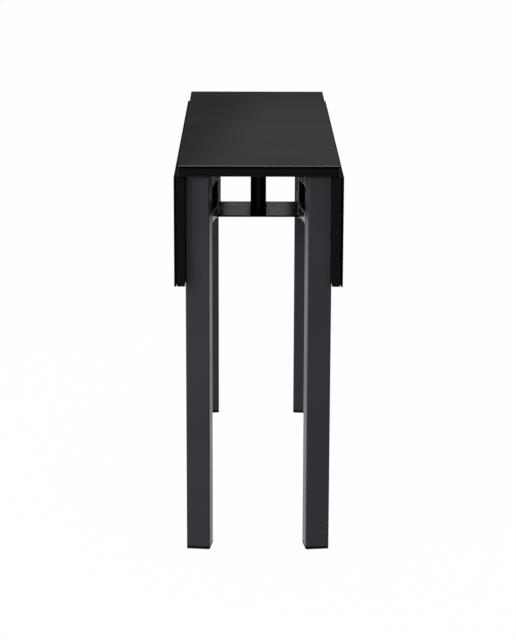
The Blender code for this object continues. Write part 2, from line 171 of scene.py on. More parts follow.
# Finishes: colours, how much lighter rubbed black is, and how deep a fine grain goes
GLASS_BLACK = (0.0045, 0.0047, 0.0050)
# The next colour is a painted highlight: the pale line along the glass's upper arris
GLASS_ARRIS_HIGHLIGHT = (0.150, 0.158, 0.158)
GLASS_DUST = (0.22, 0.21, 0.20)
GROUND_DARK = (0.0003, 0.0003, 0.0004)
GROUND_LIGHT = (0.0010, 0.0011, 0.0011)
RUBBED_PAINT = (0.055, 0.052, 0.056)
# The next colour is a painted highlight along the round arrises of the gates' arms and posts
ARRIS_HIGHLIGHT = (0.42, 0.405, 0.42)
PAINT_DUST = (0.16, 0.15, 0.145)
ZINC_DARK = (0.13, 0.13, 0.136)
ZINC_BROWN = (0.19, 0.185, 0.175)
RUBBED_ZINC = (0.36, 0.36, 0.36)
BOND_DARK = (0.002, 0.002, 0.002)
BOND_LIGHT = (0.005, 0.005, 0.005)
RUBBED_GAIN = 1.8
GRAIN_DEPTH = 0.0001

# Floor: its size, its drop below the glides, its colour under light, and how much of its shadow shows
FLOOR_HALF = 60.0
FLOOR_DROP = 0.0003
FLOOR_COLOUR = (0.80, 0.80, 0.80, 1.0)
FLOOR_SHADE = 0.020
WHITE = (1.0, 1.0, 1.0, 1.0)

# Studio wall: its dark and its lit level; the lit part starts between these sines of the height above the
# horizon, and further to the right the lower it is, between these sums of that sine and the one to the right
WALL_LEVELS = (0.046, 0.093)
LIT_WALL_FOOT = (0.130, 0.150)
LIT_WALL_SIDE = (0.1295, 0.1595)

# Ceiling: what it adds to the wall at sines of the height above the horizon
CEILING_RAMP = ((0.0, 0.0), (0.26, 0.0), (0.50, 0.18), (0.85, 0.55), (1.0, 0.95))

# The white sweep behind the floor ends between these sines, and fades to a lower level towards the camera
SWEEP_TOP = (0.055, 0.095)
SWEEP_FRONT = (-0.5, 0.0)
SWEEP_FRONT_LEVEL = 0.25

# Lamps: the place, width, depth and power in watts of each; both face one point
LAMPS = {
    "ceiling_box": ((0.0, -0.2, 2.7), 1.9, 1.9, 24.0),
    "left_box": ((-3.9, -2.3, 2.0), 3.0, 2.6, 165.0),
}
LAMP_TARGET = (0.0, 0.0, 0.5)

SIDES = {"left": -1, "right": 1}
ENDS = {"near": -1, "far": 1}
TOP_BODY = "top_and_frames"
JOINTS = {joint["name"]: joint for joint in frame["joints"]}


# Shader helpers

def add(tree, kind, settings=None, inputs=None):
    """A new node; an input that is given a socket is linked to it, and any other value is set."""
    made = tree.nodes.new(kind)
    for name, value in (settings or {}).items():
        setattr(made, name, value)
    for name, value in (inputs or {}).items():
        if isinstance(value, bpy.types.NodeSocket):
            tree.links.new(value, made.inputs[name])
        else:
            made.inputs[name].default_value = value
    return made


def feed(tree, inputs, sockets):
    """Links named inputs, of a shader or of a group's output node, to the sockets given for them."""
    for name, socket in sockets.items():
        tree.links.new(socket, inputs[name])


def math_node(tree, operation, first, second, clamp=False):
    """The result of one operation on two values, each a number or a socket."""
    settings = {"operation": operation, "use_clamp": clamp}
    return add(tree, "ShaderNodeMath", settings, {0: first, 1: second}).outputs[0]


def mixed_colour(tree, mask, low, high):
    """The colour low where the mask is 0 and high where it is 1; either is a colour or a socket."""
    factor, first, second, result = 0, 6, 7, 2
    colours = [value if isinstance(value, bpy.types.NodeSocket) else (*value, 1.0) for value in (low, high)]
    inputs = {factor: mask, first: colours[0], second: colours[1]}
    return add(tree, "ShaderNodeMix", {"data_type": "RGBA"}, inputs).outputs[result]


def mapped(tree, value, low, high, to_low, to_high, kind="LINEAR"):
    """A value carried from one range to another and held at the ends."""
    inputs = {"Value": value, "From Min": low, "From Max": high, "To Min": to_low, "To Max": to_high}
    return add(tree, "ShaderNodeMapRange", {"interpolation_type": kind}, inputs).outputs["Result"]


def object_place(tree, stretch=None):
    """The object's own coordinates, which ride with the piece; stretch scales each axis."""
    place = add(tree, "ShaderNodeTexCoord").outputs["Object"]
    if stretch is None:
        return place
    return add(tree, "ShaderNodeMapping", None, {"Vector": place, "Scale": stretch}).outputs["Vector"]


def noise(tree, place, scale, detail=2.0, roughness=0.5):
    """Cloudy values about 0.5; a larger scale is finer."""
    inputs = {"Vector": place, "Scale": scale, "Detail": detail, "Roughness": roughness}
    return add(tree, "ShaderNodeTexNoise", None, inputs).outputs["Fac"]


def new_group(name, inputs, outputs):
    """A shader group with float inputs, given as name and default, and float outputs."""
    group = bpy.data.node_groups.new(name, "ShaderNodeTree")
    for label, default in inputs:
        socket = group.interface.new_socket(label, in_out="INPUT", socket_type="NodeSocketFloat")
        socket.default_value = default
    for label in outputs:
        group.interface.new_socket(label, in_out="OUTPUT", socket_type="NodeSocketFloat")
    return group, add(group, "NodeGroupInput").outputs, add(group, "NodeGroupOutput").inputs


def broken_up(group, scale, low, high, least):
    """Patches from least to 1 that break up an even mask."""
    return mapped(group, noise(group, object_place(group), scale, 3.0), low, high, least, 1.0)


def arris_group():
    """A mask on the arrises of a piece that is square to its own axes, broken up in patches; it places painted
    highlights there.
    """
    group, given, result = new_group("arris_highlight", [("Breakup", 220.0), ("Least", 0.2)], ["Mask"])
    normal = add(group, "ShaderNodeTexCoord").outputs["Normal"]
    positive = add(group, "ShaderNodeVectorMath", {"operation": "ABSOLUTE"}, {0: normal}).outputs["Vector"]
    parts = add(group, "ShaderNodeSeparateXYZ", None, {"Vector": positive}).outputs
    pairs = [math_node(group, "MULTIPLY", parts[one], parts[other]) for one, other in ("XY", "YZ", "ZX")]
    aslant = math_node(group, "ADD", math_node(group, "ADD", pairs[0], pairs[1]), pairs[2])
    turned = mapped(group, aslant, 0.13, 0.42, 0.0, 1.0)
    broken = broken_up(group, given["Breakup"], 0.35, 0.62, given["Least"])
    feed(group, result, {"Mask": math_node(group, "MULTIPLY", turned, broken)})
    return group


def edge_wear_group():
    """A mask along the edges, broken up as handling rubs them."""
    inputs = [("Width", 0.001), ("Breakup", 300.0), ("Amount", 1.0)]
    group, given, result = new_group("edge_wear", inputs, ["Mask"])
    rounded = add(group, "ShaderNodeBevel", {"samples": 4}, {"Radius": given["Width"]}).outputs["Normal"]
    plain = add(group, "ShaderNodeNewGeometry").outputs["Normal"]
    normals = {0: rounded, 1: plain}
    facing_out = add(group, "ShaderNodeVectorMath", {"operation": "DOT_PRODUCT"}, normals).outputs["Value"]
    turned = mapped(group, facing_out, 0.995, 0.80, 0.0, 1.0)
    mask = math_node(group, "MULTIPLY", turned, broken_up(group, given["Breakup"], 0.35, 0.65, 0.2))
    feed(group, result, {"Mask": math_node(group, "MULTIPLY", mask, given["Amount"], clamp=True)})
    return group


def dust_group():
    """A mask of thin dust on what faces up, in soft patches with a few specks."""
    group, given, result = new_group("settled_dust", [("Patches", 9.0), ("Amount", 1.0)], ["Mask"])
    normal = add(group, "ShaderNodeNewGeometry").outputs["Normal"]
    up = add(group, "ShaderNodeSeparateXYZ", None, {"Vector": normal}).outputs["Z"]
    facing_up = mapped(group, up, 0.55, 0.95, 0.0, 1.0)
    place = object_place(group)
    patches = mapped(group, noise(group, place, given["Patches"], 4.0), 0.35, 0.75, 0.15, 1.0)
    specks = mapped(group, noise(group, place, 1400.0, 1.0), 0.72, 0.80, 0.0, 1.0)
    film = math_node(group, "MULTIPLY", math_node(group, "ADD", patches, specks), facing_up)
    feed(group, result, {"Mask": math_node(group, "MULTIPLY", film, given["Amount"], clamp=True)})
    return group


def coat_grain_group():
    """The fine pebbled skin of a sprayed or moulded surface, and its slow drift in tone."""
    inputs = [("Pebble", 900.0), ("Drift", 7.0)]
    group, given, result = new_group("coat_grain", inputs, ["Height", "Tone"])
    place = object_place(group)
    pebble = noise(group, place, given["Pebble"], 2.0)
    soft = noise(group, place, math_node(group, "MULTIPLY", given["Pebble"], 0.3), 1.0)
    shares = math_node(group, "MULTIPLY", pebble, 0.6), math_node(group, "MULTIPLY", soft, 0.4)
    drift = noise(group, place, given["Drift"], 4.0)
    feed(group, result, {
        "Height": math_node(group, "ADD", *shares),
        "Tone": mapped(group, drift, 0.3, 0.7, 0.0, 1.0),
    })
    return group


def wiped_group():
    """Faint marks of wiping on a polished sheet, drawn out along its length, and a slow haze."""
    group, given, result = new_group("wiped_marks", [("Marks", 60.0), ("Haze", 4.0)], ["Mask"])
    streaks = noise(group, object_place(group, (1.0, 0.12, 1.0)), given["Marks"], 5.0, 0.6)
    haze = noise(group, object_place(group), given["Haze"], 3.0)
    marked = mapped(group, streaks, 0.42, 0.70, 0.0, 1.0)
    hazed = mapped(group, haze, 0.4, 0.65, 0.1, 1.0)
    feed(group, result, {"Mask": math_node(group, "MULTIPLY", marked, hazed)})
    return group


def rolled_group():
    """Fine lines across a rolled sheet, drawn out along X."""
    group, given, result = new_group("rolled_lines", [("Lines", 150.0)], ["Mask"])
    lines = noise(group, object_place(group, (0.03, 1.0, 1.0)), given["Lines"], 3.0, 0.6)
    feed(group, result, {"Mask": mapped(group, lines, 0.35, 0.65, 0.0, 1.0)})
    return group


GROUPS = {
    "arris_highlight": arris_group(),
    "edge_wear": edge_wear_group(),
    "settled_dust": dust_group(),
    "coat_grain": coat_grain_group(),
    "wiped_marks": wiped_group(),
    "rolled_lines": rolled_group(),
}


def effect(tree, name, values):
    """The outputs of a shared group, placed in a material with its own values."""
    return add(tree, "ShaderNodeGroup", {"node_tree": GROUPS[name]}, values).outputs


def new_material(name, constants):
    """A Principled material with plain constants on the shader's own sockets."""
    material = bpy.data.materials.new(name)
    material.use_nodes = True
    tree = material.node_tree
    shader = tree.nodes["Principled BSDF"]
    for socket, value in constants.items():
        shader.inputs[socket].default_value = value
    return material, tree, shader.inputs


def bump(tree, height, strength):
    """Normals that follow a fine grain."""
    inputs = {"Height": height, "Strength": strength, "Distance": GRAIN_DEPTH}
    return add(tree, "ShaderNodeBump", None, inputs).outputs["Normal"]


# Materials

def black_glass():
    """Black glass, polished, with faint wiping marks, a little dust, and a painted highlight on its ground
    arris.
    """
    material, tree, shader = new_material("black_glass", {"IOR": 1.5, "Specular IOR Level": 0.5})
    marks = effect(tree, "wiped_marks", {"Marks": 45.0, "Haze": 3.0})["Mask"]
    dust = effect(tree, "settled_dust", {"Patches": 6.0, "Amount": 0.05})["Mask"]
    arris = effect(tree, "arris_highlight", {"Breakup": 120.0, "Least": 0.6})["Mask"]
    # Painted highlight: the arris mask lightens the black glass towards a pale grey line
    body = mixed_colour(tree, arris, GLASS_BLACK, GLASS_ARRIS_HIGHLIGHT)
    polish = mapped(tree, marks, 0.0, 1.0, 0.05, 0.075)
    feed(tree, shader, {
        "Base Color": mixed_colour(tree, dust, body, GLASS_DUST),
        "Roughness": math_node(tree, "ADD", polish, math_node(tree, "MULTIPLY", arris, 0.12)),
    })
    return material


def ground_edge():
    """The upright edge of the black glass, ground matt, with a few paler marks of the wheel."""
    material, tree, shader = new_material("ground_glass_edge", {"Specular IOR Level": 0.02})
    marks = noise(tree, object_place(tree, (1.0, 1.0, 6.0)), 900.0, 3.0)
    tone = mapped(tree, marks, 0.35, 0.75, 0.0, 1.0)
    feed(tree, shader, {
        "Base Color": mixed_colour(tree, tone, GROUND_DARK, GROUND_LIGHT),
        "Roughness": mapped(tree, marks, 0.3, 0.7, 0.40, 0.55),
    })
    return material


def black_board(name, dark, light, rough, shine):
    """Black laminated board with a fine texture and slightly polished edges."""
    material, tree, shader = new_material(name, {"Specular IOR Level": shine})
    grain = effect(tree, "coat_grain", {"Pebble": 1500.0, "Drift": 9.0})
    edge = effect(tree, "edge_wear", {"Width": 0.0010, "Breakup": 260.0, "Amount": 0.5})["Mask"]
    body = mixed_colour(tree, grain["Tone"], dark, light)
    rubbed = [channel * RUBBED_GAIN for channel in light]
    feed(tree, shader, {
        "Base Color": mixed_colour(tree, edge, body, rubbed),
        "Roughness": mapped(tree, grain["Tone"], 0.0, 1.0, rough - 0.05, rough + 0.05),
        "Normal": bump(tree, grain["Height"], 0.25),
    })
    return material


def satin_paint(name, dark, light, rough, shine, rubbed=0.10, lines=0.0, arris=None):
    """Satin powder coat: pebbled, drifting a little in tone, and paler where edges are rubbed.

    On rolled sheet, lines is how far the sheet's lines show through as a change of roughness. On a square
    tube, arris is the colour of a painted highlight along its round arrises.
    """
    material, tree, shader = new_material(name, {"Specular IOR Level": shine})
    grain = effect(tree, "coat_grain", {"Pebble": 900.0, "Drift": 6.0})
    edge = effect(tree, "edge_wear", {"Width": 0.0016, "Breakup": 220.0, "Amount": rubbed})["Mask"]
    dust = effect(tree, "settled_dust", {"Patches": 14.0, "Amount": 0.06})["Mask"]
    body = mixed_colour(tree, grain["Tone"], dark, light)
    worn_and_highlit = mixed_colour(tree, edge, body, RUBBED_PAINT)
    if arris:
        # Painted highlight: the arris mask lightens the round arrises towards the arris colour
        along = effect(tree, "arris_highlight", {"Breakup": 160.0, "Least": 0.35})["Mask"]
        worn_and_highlit = mixed_colour(tree, along, worn_and_highlit, arris)
    gloss = mapped(tree, grain["Tone"], 0.0, 1.0, rough - 0.03, rough + 0.04)
    if lines:
        drawn = effect(tree, "rolled_lines", {"Lines": 170.0})["Mask"]
        gloss = math_node(tree, "ADD", gloss, mapped(tree, drawn, 0.0, 1.0, -lines, lines))
    feed(tree, shader, {
        "Base Color": mixed_colour(tree, dust, worn_and_highlit, PAINT_DUST),
        "Roughness": gloss,
        "Normal": bump(tree, grain["Height"], 0.30),
    })
    return material


def black_plastic(name, dark, light):
    """Moulded black plastic with a fine spark-eroded grain."""
    material, tree, shader = new_material(name, {"Specular IOR Level": 0.08})
    grain = effect(tree, "coat_grain", {"Pebble": 2200.0, "Drift": 20.0})
    edge = effect(tree, "edge_wear", {"Width": 0.0008, "Breakup": 400.0, "Amount": 0.6})["Mask"]
    body = mixed_colour(tree, grain["Tone"], dark, light)
    rubbed = [channel * RUBBED_GAIN for channel in light]
    feed(tree, shader, {
        "Base Color": mixed_colour(tree, edge, body, rubbed),
        "Roughness": mapped(tree, grain["Tone"], 0.0, 1.0, 0.44, 0.56),
        "Normal": bump(tree, grain["Height"], 0.35),
    })
    return material


def zinc_steel():
    """Black zinc plate: finely pebbled, a little brown in places and brighter where edges are rubbed."""
    material, tree, shader = new_material("zinc_steel", {"Metallic": 1.0})
    grain = effect(tree, "coat_grain", {"Pebble": 1600.0, "Drift": 60.0})
    edge = effect(tree, "edge_wear", {"Width": 0.0006, "Breakup": 500.0, "Amount": 0.8})["Mask"]
    body = mixed_colour(tree, grain["Tone"], ZINC_DARK, ZINC_BROWN)
    feed(tree, shader, {
        "Base Color": mixed_colour(tree, edge, body, RUBBED_ZINC),
        "Roughness": mapped(tree, grain["Tone"], 0.0, 1.0, 0.26, 0.42),
        "Normal": bump(tree, grain["Height"], 0.15),
    })
    return material


def bond_adhesive():
    """The adhesive sheet seen as a dull black line between glass and board."""
    material, tree, shader = new_material("bond_adhesive", {"Specular IOR Level": 0.1})
    grain = effect(tree, "coat_grain", {"Pebble": 500.0, "Drift": 30.0})
    feed(tree, shader, {
        "Base Color": mixed_colour(tree, grain["Tone"], BOND_DARK, BOND_LIGHT),
        "Roughness": mapped(tree, grain["Height"], 0.0, 1.0, 0.6, 0.8),
    })
    return material


GLASS = black_glass()
GROUND_EDGE = ground_edge()
BOARD = black_board("board_edge", (0.0026, 0.0030, 0.0038), (0.0042, 0.0046, 0.0056), 0.45, 0.05)
UNDERSIDE = black_board("top_underside", (0.0040, 0.0043, 0.0050), (0.0064, 0.0068, 0.0078), 0.18, 0.50)
LEAF_BACK = black_board("leaf_back", (0.0100, 0.0104, 0.0114), (0.0170, 0.0175, 0.0188), 0.45, 0.0)
LEG_PAINT = satin_paint("leg_paint", (0.033, 0.0306, 0.0378), (0.041, 0.0379, 0.0467), 0.31, 0.09)
PLATE_PAINT = satin_paint(
    "plate_paint", (0.020, 0.0193, 0.0200), (0.028, 0.0272, 0.0280), 0.20, 0.22, lines=0.09,
)
# Painted shade: the plates' upright edges carry the same paint as their faces, but are near black here for the
# shade they stand in
PLATE_EDGE_SHADE = satin_paint(
    "plate_edge_painted_shade", (0.0010, 0.0010, 0.0011), (0.0018, 0.0017, 0.0018), 0.30, 0.01,
)
# The gates' paint: its edge wear at full strength and its pale round arrises are painted highlights along the
# arms' edges
GATE_PAINT = satin_paint(
    "gate_paint", (0.028, 0.0262, 0.0310), (0.036, 0.0338, 0.0400), 0.19, 0.60,
    rubbed=1.0, arris=ARRIS_HIGHLIGHT,
)
# Painted shade: the pivot post is welded to the arms and painted with them, but is near black here for the
# shade it stands in; its arrises carry the painted highlight
POST_PAINTED_SHADE = satin_paint(
    "post_painted_shade", (0.0015, 0.0014, 0.0020), (0.0030, 0.0028, 0.0038), 0.25, 0.10, arris=ARRIS_HIGHLIGHT,
)
# Painted shade: the columns and their set screws share the frame's satin paint, darkened here to near black for
# the shade under the top
COLUMN_PAINTED_SHADE = satin_paint("column_painted_shade", (0.0012, 0.0011, 0.0019), (0.0020, 0.0018, 0.0029), 0.20, 0.04)
PLASTIC = black_plastic("black_plastic", (0.003, 0.003, 0.0032), (0.006, 0.006, 0.0063))
CAP_PLASTIC = black_plastic("cap_plastic", (0.034, 0.0325, 0.0370), (0.042, 0.0400, 0.0455))
ZINC = zinc_steel()
ADHESIVE = bond_adhesive()


# Mesh helpers

def corner_outline(width, depth, radius, steps=CORNER_STEPS):
    """A rectangle round the origin with round corners, anticlockwise, as (x, y) points."""
    points = []
    for quarter, (sx, sy) in enumerate(((1, 1), (-1, 1), (-1, -1), (1, -1))):
        cx, cy = sx * (width / 2 - radius), sy * (depth / 2 - radius)
        for step in range(steps + 1):
            angle = math.pi / 2 * (quarter + step / steps)
            points.append((cx + radius * math.cos(angle), cy + radius * math.sin(angle)))
    return points


def round_outline(radius, steps=ROUND_STEPS):
    """A circle, or with few steps a polygon, round the origin, anticlockwise, as (x, y) points."""
    turns = [math.tau * step / steps for step in range(steps)]
    return [(radius * math.cos(turn), radius * math.sin(turn)) for turn in turns]


def loft(rings, hollow=False):
    """A solid through rings of equal length, given as (outline, z).

    A hollow one joins its last ring to its first, as a tube does, and any other is capped at both ends.
    """
    mesh = bmesh.new()
    loops = [[mesh.verts.new((x, y, z)) for x, y in outline] for outline, z in rings]
    pairs = list(zip(loops, loops[1:]))
    if hollow:
        pairs.append((loops[-1], loops[0]))
    for low, high in pairs:
        for index in range(len(low)):
            after = (index + 1) % len(low)
            mesh.faces.new((low[index], low[after], high[after], high[index]))
    if not hollow:
        mesh.faces.new(list(reversed(loops[0])))
        mesh.faces.new(loops[-1])
    return mesh


def lathe(profile, hollow=False):
    """A turned solid from (radius, z) points that run up its outside."""
    return loft([(round_outline(radius), z) for radius, z in profile], hollow)


def rounded_ends(z0, z1, rounding, steps=EDGE_STEPS):
    """(inset, z) pairs that round off a slab's bottom at z0 and its top at z1; one step is a chamfer."""
    turns = [math.pi / 2 * step / steps for step in range(steps + 1)]
    low = [(rounding * (1 - math.sin(turn)), z0 + rounding * (1 - math.cos(turn))) for turn in turns]
    high = [(rounding * (1 - math.cos(turn)), z1 - rounding * (1 - math.sin(turn))) for turn in turns]
    return low + high


def moved(built, matrix):
    """A bmesh after a move."""
    bmesh.ops.transform(built, matrix=matrix, verts=built.verts)
    return built


def mesh_of(built):
    """A mesh datablock from a bmesh, with its faces pointing out."""
    bmesh.ops.recalc_face_normals(built, faces=built.faces)
    mesh = bpy.data.meshes.new("piece")
    built.to_mesh(mesh)
    built.free()
    return mesh


def new_object(name, data):
    """An object that is part of the scene."""
    made = bpy.data.objects.new(name, data)
    bpy.context.scene.collection.objects.link(made)
    return made


def final_mesh(made):
    """The mesh that an object's modifiers, or its curve, come to."""
    bpy.context.view_layer.update()
    evaluated = made.evaluated_get(bpy.context.evaluated_depsgraph_get())
    return bpy.data.meshes.new_from_object(evaluated)


def combined(solid, joined=(), cut=()):
    """One mesh from a solid with others joined to it and then others cut from it."""
    body = new_object("solid", mesh_of(solid))
    helpers = []
    for operation, others in (("UNION", joined), ("DIFFERENCE", cut)):
        for other in others:
            helper = new_object("helper", mesh_of(other))
            helpers.append(helper)
            modifier = body.modifiers.new(operation, "BOOLEAN")
            modifier.operation = operation
            modifier.solver = "EXACT"
            modifier.object = helper
    mesh = final_mesh(body)
    for used in (*helpers, body):
        bpy.data.objects.remove(used, do_unlink=True)
    return mesh


def piece(name, mesh, material, body, place=None, stands_for=()):
    """A shown piece: smooth, weighted by face area, riding on its body and standing for its solids."""
    made = new_object(name, mesh)
    mesh.materials.clear()
    mesh.materials.append(material)
    mesh.shade_smooth()
    mesh.set_sharp_from_angle(angle=SMOOTH_ANGLE)
    weighting = made.modifiers.new("weighted_normals", "WEIGHTED_NORMAL")
    weighting.keep_sharp = True
    if place is not None:
        made.matrix_world = place
    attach(made, body)
    if stands_for:
        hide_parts(*stands_for)
    return made


def softened(node, edge):
    """A mesh with the outline of a solid, its faces made whole and its sharp edges rounded."""
    built = bmesh.new()
    built.from_mesh(frame["nodes"][node].data)
    bmesh.ops.remove_doubles(built, verts=built.verts, dist=MERGE_DISTANCE)
    bmesh.ops.dissolve_limit(built, angle_limit=FLAT_ANGLE, verts=built.verts, edges=built.edges)
    sharp = [line for line in built.edges if line.is_manifold and line.calc_face_angle() > SMOOTH_ANGLE]
    bmesh.ops.bevel(
        built, geom=sharp, offset=edge, offset_type="OFFSET", segments=EDGE_STEPS, profile=0.5,
        affect="EDGES", clamp_overlap=True,
    )
    return mesh_of(built)


def body_of(node):
    """The body that a solid rides on."""
    return frame["nodes"][node]["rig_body"]


def soft_piece(node, edge, material):
    """A piece that stands for one solid and keeps its outline."""
    return piece(f"{node}_finished", softened(node, edge), material, body_of(node), stands_for=[node])


def second_material(made, material, chosen):
    """Gives a piece another material on the faces that a test chooses."""
    made.data.materials.append(material)
    for face in made.data.polygons:
        face.material_index = int(chosen(face))


def upright_axis(node):
    """A place at the floor on the upright line through the middle of a solid."""
    low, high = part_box(node)
    return Matrix.Translation(((low.x + high.x) / 2, (low.y + high.y) / 2, 0))


# Glass and boards

def glass_sheet(node, turn):
    """A sheet modelled flat and turned about Y to lie as its solid does.

    Its edges are ground matt, and only the upper arrises at the ends of the top keep the glass, whose painted
    highlight shows there as pale lines.
    """
    low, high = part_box(node)
    size = high - low
    width, thick = (size.z, size.x) if turn else (size.x, size.z)
    rings = []
    for inset, z in rounded_ends(-thick / 2, thick / 2, GLASS_ARRIS, 1):
        outline = corner_outline(width - 2 * inset, size.y - 2 * inset, GLASS_CORNER_RADIUS - inset)
        rings.append((outline, z))
    place = Matrix.Translation((low + high) / 2) @ Matrix.Rotation(turn, 4, "Y")
    sheet = piece(f"{node}_sheet", mesh_of(loft(rings)), GLASS, body_of(node), place, [node])
    least = 1.0 - UPRIGHT if turn else UPRIGHT
    second_material(sheet, GROUND_EDGE, lambda face: face.normal.z < least or abs(face.normal.x) > SIDEWAYS)


def make_panels():
    """The three glass sheets, their boards, and the adhesive line between them."""
    glass_sheet("top_glass", 0.0)
    for side, sign in SIDES.items():
        glass_sheet(f"leaf_{side}_glass", sign * math.pi / 2)
    for panel in ("top", "leaf_left", "leaf_right"):
        board = soft_piece(f"{panel}_board", BOARD_EDGE, BOARD)
        across, back = (Z_AXIS, UNDERSIDE) if panel == "top" else (X_AXIS, LEAF_BACK)
        second_material(board, back, lambda face: abs(face.normal[across]) > 1.0 - UPRIGHT)
        frame["nodes"][f"{panel}_bond"].material_slots[0].material = ADHESIVE


# Gates

def gate_place(end, side):
    """The frame of one gate: its origin on the pivot line at the floor, and its leg towards -Y."""
    x, y, _ = JOINTS[f"gate_{end}_{side}_swing"]["pos_m"]
    turn = -SIDES[side] * ENDS[end] * GATE_ANGLE + (math.pi if end == "far" else 0.0)
    return Matrix.Translation((x, y, 0)) @ Matrix.Rotation(turn, 4, "Z")


def leg_mesh():
    """A square tube with round corners and chamfered ends, standing on the origin's axis."""
    low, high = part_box("leg_near_left")
    rings = []
    for inset, z in rounded_ends(low.z, high.z, TUBE_END_CHAMFER, 1):
        size = LEG_SIZE - 2 * inset
        rings.append((corner_outline(size, size, LEG_CORNER_RADIUS - inset), z))
    bore = LEG_SIZE - 2 * LEG_WALL
    inner = corner_outline(bore, bore, LEG_CORNER_RADIUS - LEG_WALL)
    rings += [(inner, high.z), (inner, low.z)]
    return mesh_of(loft(rings, hollow=True))


def arm_heights():
    """The middle heights of the lower and the upper arm, from the bracket's solid."""
    low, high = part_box("gate_bracket_near_left")
    return low.z + ARM_SIZE / 2, high.z - UPPER_ARM_DROP - ARM_SIZE / 2


def along_arm():
    """Turns a shape that is built up along Z so that it runs along -Y."""
    return Matrix.Rotation(math.pi / 2, 4, "X")


def post_outline(inset):
    """The plan of the pivot post, as wide as the arms, drawn in by inset."""
    radius = max(ARM_CORNER_RADIUS - inset, LEAST_CORNER_RADIUS)
    return corner_outline(ARM_SIZE - 2 * inset, POST_DEPTH - 2 * inset, radius)


def bracket_mesh():
    """Two round-cornered square arms on the pivot post, which is open at both ends for its bushes."""
    low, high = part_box("gate_bracket_near_left")
    post = loft([(post_outline(inset), z) for inset, z in rounded_ends(low.z, high.z, TUBE_END_CHAMFER, 1)])
    outline = corner_outline(ARM_SIZE, ARM_SIZE, ARM_CORNER_RADIUS)
    reach = GATE_REACH - ARM_END_GAP
    arms = []
    for middle in arm_heights():
        arm = moved(loft([(outline, 0.0), (outline, reach)]), along_arm())
        arms.append(moved(arm, Matrix.Translation((0, 0, middle))))
    bore = post_outline(POST_WALL)
    return combined(post, arms, [loft([(bore, low.z - ARM_SIZE), (bore, high.z + ARM_SIZE)])])


def bead_mesh(points):
    """A rippled weld bead along a closed line of points."""
    curve = bpy.data.curves.new("bead", "CURVE")
    curve.dimensions = "3D"
    curve.bevel_depth = BEAD_RADIUS
    curve.bevel_resolution = BEAD_ROUNDNESS
    line = curve.splines.new("POLY")
    line.points.add(len(points) - 1)
    line.use_cyclic_u = True
    travelled = 0.0
    for index, (point, place) in enumerate(zip(line.points, points)):
        if index:
            travelled += (place - points[index - 1]).length
        point.co = (*place, 1.0)
        point.radius = 1.0 + BEAD_RIPPLE * math.sin(math.tau * travelled / BEAD_RIPPLE_PITCH)
    holder = new_object("bead", curve)
    mesh = final_mesh(holder)
    bpy.data.objects.remove(holder, do_unlink=True)
    return mesh


def arm_loop(middle):
    """Points just inside an arm's section, close enough together for a bead's ripples."""
    size = ARM_SIZE - 2 * BEAD_SINK
    outline = corner_outline(size, size, ARM_CORNER_RADIUS - BEAD_SINK)
    points = []
    for (x0, z0), (x1, z1) in zip(outline, outline[1:] + outline[:1]):
        steps = max(1, round(math.dist((x0, z0), (x1, z1)) / BEAD_STEP))
        for step in range(steps):
            share = step / steps
            points.append((x0 + (x1 - x0) * share, middle + z0 + (z1 - z0) * share))
    return points


def weld_mesh():
    """The beads where both arms meet the pivot post and the back of the leg."""
    built = bmesh.new()
    for middle in arm_heights():
        loop = arm_loop(middle)
        for y in (-POST_DEPTH / 2, -GATE_REACH + BEAD_OFF_LEG):
            bead = bead_mesh([Vector((x, y, z)) for x, z in loop])
            built.from_mesh(bead)
            bpy.data.meshes.remove(bead)
    return mesh_of(built)


def bush_mesh(node, flange_down):
    """A moulded plug with a round-edged flange, bored for the bolt, at the height of its solid."""
    low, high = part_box(node)
    height = high.z - low.z
    bore = round_outline(BUSH_BORE_RADIUS, len(post_outline(0.0)))
    rim, eased, plug = post_outline(0.0), post_outline(BUSH_EDGE), post_outline(POST_WALL + PLUG_GAP)
    rings = [
        (bore, 0.0), (eased, 0.0), (rim, BUSH_EDGE), (rim, BUSH_FLANGE - BUSH_EDGE), (eased, BUSH_FLANGE),
        (plug, BUSH_FLANGE), (plug, height), (bore, height),
    ]
    if flange_down:
        rings = [(outline, low.z + z) for outline, z in rings]
    else:
        rings = [(outline, high.z - z) for outline, z in rings]
    return mesh_of(loft(rings, hollow=True))


def make_gates():
    """The four gates: a leg with its cap and glide, a welded bracket, and the bushes in its post."""
    leg, bracket, welds = leg_mesh(), bracket_mesh(), weld_mesh()
    lower_bush = bush_mesh("lower_bush_near_left", True)
    upper_bush = bush_mesh("upper_bush_near_left", False)
    leg_offset = (LEG_SIZE - ARM_SIZE) / 2
    leg_reach = GATE_REACH + LEG_SIZE / 2
    post_front = -POST_DEPTH / 2 - BEAD_RADIUS
    for end, end_sign in ENDS.items():
        for side, side_sign in SIDES.items():
            key = f"{end}_{side}"
            body = f"gate_{key}"
            place = gate_place(end, side)
            stand = place @ Matrix.Translation((-side_sign * end_sign * leg_offset, -leg_reach, 0))
            piece(f"leg_{key}_tube", leg.copy(), LEG_PAINT, body, stand, [f"leg_{key}"])
            weldment = piece(
                f"gate_bracket_{key}_weldment", bracket.copy(), GATE_PAINT, body, place,
                [f"gate_bracket_{key}"],
            )
            # The post's faces take the near-black painted shade
            second_material(weldment, POST_PAINTED_SHADE, lambda face: face.center.y > post_front)
            piece(f"weld_beads_{key}", welds.copy(), GATE_PAINT, body, place)
            for name, bush in (("lower_bush", lower_bush), ("upper_bush", upper_bush)):
                node = f"{name}_{key}"
                piece(f"{node}_moulded", bush.copy(), PLASTIC, body, place, [node])
            soft_piece(f"leg_cap_{key}", MOULDED_EDGE, CAP_PLASTIC)
            soft_piece(f"foot_glide_{key}", MOULDED_EDGE, PLASTIC)


# Plates, columns and bolts

